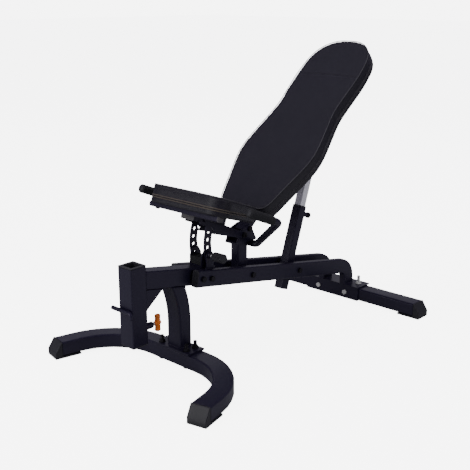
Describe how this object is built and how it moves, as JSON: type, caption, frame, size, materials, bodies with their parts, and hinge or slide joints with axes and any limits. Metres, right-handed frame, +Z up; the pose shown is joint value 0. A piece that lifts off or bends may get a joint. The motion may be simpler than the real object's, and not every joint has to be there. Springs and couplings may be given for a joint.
{
  "type": "adjustable weight bench",
  "caption": "Padded bench with a tilting seat and a reclining back on a telescoping support, side hand grips and a square front socket.",
  "frame": {"origin": "floor level under the middle of the bench's bounding box", "axes": "+X from the front foot towards the head end and the rear foot, +Z up, the hand-operated lock knob is on the -Y side"},
  "size_m": [1.0952, 0.716, 0.9037],
  "materials": {
    "black_powder_coat": "satin black powder coat",
    "black_plastic": "moulded, matt",
    "zinc_plate": "bright zinc plate",
    "black_steel": "blackened, dull",
    "silver_paint": "silver, satin",
    "orange_plastic": "orange, smooth",
    "black_vinyl": "grained leatherette",
    "foam_grip": "textured foam",
    "plywood": "dark backing board",
    "black_rubber": "ribbed rubber"
  },
  "bodies": {
    "base": {"back_pivot_bolt": "black_steel", "beam_gusset": "black_powder_coat", "clamp_bolt_left": "zinc_plate", "clamp_bolt_right": "zinc_plate", "flange_bolt_front_left": "black_steel", "flange_bolt_front_right": "black_steel", "flange_bolt_rear_left": "black_steel", "flange_bolt_rear_right": "black_steel", "front_beam": "black_powder_coat", "front_foot": "black_powder_coat", "front_foot_cap_left": "black_plastic", "front_foot_cap_right": "black_plastic", "front_leg": "black_powder_coat", "handle_bar": "black_powder_coat", "handle_grip_left": "foam_grip", "handle_grip_right": "foam_grip", "hinge_bracket": "black_powder_coat", "left_rail": "black_powder_coat", "leg_flange": "black_powder_coat", "lock_bracket": "black_powder_coat", "post_bottom_plug": "black_plastic", "rail_bolt_front": "black_steel", "rail_bolt_rear": "black_steel", "rear_foot": "black_powder_coat", "rear_foot_cap_left": "black_plastic", "rear_foot_cap_right": "black_plastic", "rear_saddle": "black_powder_coat", "receiver_pin_barrel": "black_powder_coat", "receiver_post": "black_powder_coat", "receiver_sleeve": "black_plastic", "right_rail": "black_powder_coat", "saddle_bolt_left": "zinc_plate", "saddle_bolt_right": "zinc_plate", "seat_lock_barrel": "black_powder_coat", "seat_pivot_bolt": "black_steel", "seat_post": "black_powder_coat", "seat_post_bolt": "black_steel", "seat_stop_block": "black_rubber", "stop_bar": "black_powder_coat", "support_trunnion_left": "black_steel", "support_trunnion_right": "black_steel"},
    "receiver_pin": {"receiver_pin_plunger": "zinc_plate", "receiver_pin_handle": "orange_plastic"},
    "seat_lock": {"seat_lock_pin": "zinc_plate", "seat_lock_knob": "black_plastic"},
    "seat": {"seat_pad": "black_vinyl", "seat_board": "plywood", "seat_frame_tube": "black_powder_coat", "seat_cross_bar": "black_powder_coat", "seat_side_plate_left": "black_powder_coat", "seat_side_plate_right": "black_powder_coat"},
    "back": {"back_pad": "black_vinyl", "back_board": "plywood", "back_spine": "black_powder_coat", "support_bracket": "black_powder_coat"},
    "support_outer": {"support_outer_tube": "black_powder_coat", "support_pin_barrel": "black_powder_coat"},
    "support_pin": {"support_pin": "black_plastic"},
    "support_inner": {"support_inner_tube": "silver_paint", "support_top_bolt": "black_steel"}
  },
  "joints": [
    {"name": "seat_tilt", "type": "hinge", "parent": "base", "child": "seat", "pos_m": [-0.0492, 0, 0.35], "axis": [0, 1, 0], "range_deg": [-16.8, 0]},
    {"name": "back_recline", "type": "hinge", "parent": "base", "child": "back", "pos_m": [-0.01568, 0, 0.36085], "axis": [0, -1, 0], "range_deg": [-40.8, 34]},
    {"name": "support_swing", "type": "hinge", "parent": "base", "child": "support_outer", "pos_m": [0.19729, 0, 0.179], "axis": [0, -1, 0], "range_deg": [-31.6, 26.4]},
    {"name": "support_extend", "type": "slide", "parent": "support_outer", "child": "support_inner", "axis": [0.3256, 0, 0.9455], "range_m": [-0.1885, 0.1572]},
    {"name": "support_pin_push", "type": "slide", "parent": "support_outer", "child": "support_pin", "axis": [-0.9455, 0, 0.3256], "range_m": [0, 0.0065]},
    {"name": "seat_lock_push", "type": "slide", "parent": "base", "child": "seat_lock", "axis": [0, 1, 0], "range_m": [0, 0.0105]},
    {"name": "receiver_pin_pull", "type": "slide", "parent": "base", "child": "receiver_pin", "axis": [1, 0, 0], "range_m": [0, 0.01], "stiffness_N_per_m": 500, "springref_m": -0.012}
  ],
  "couplings": [
    {"joint": "support_swing", "follows": "back_recline", "ratio": 0.771},
    {"joint": "support_extend", "follows": "back_recline", "m_per_rad": 0.2642}
  ]
}
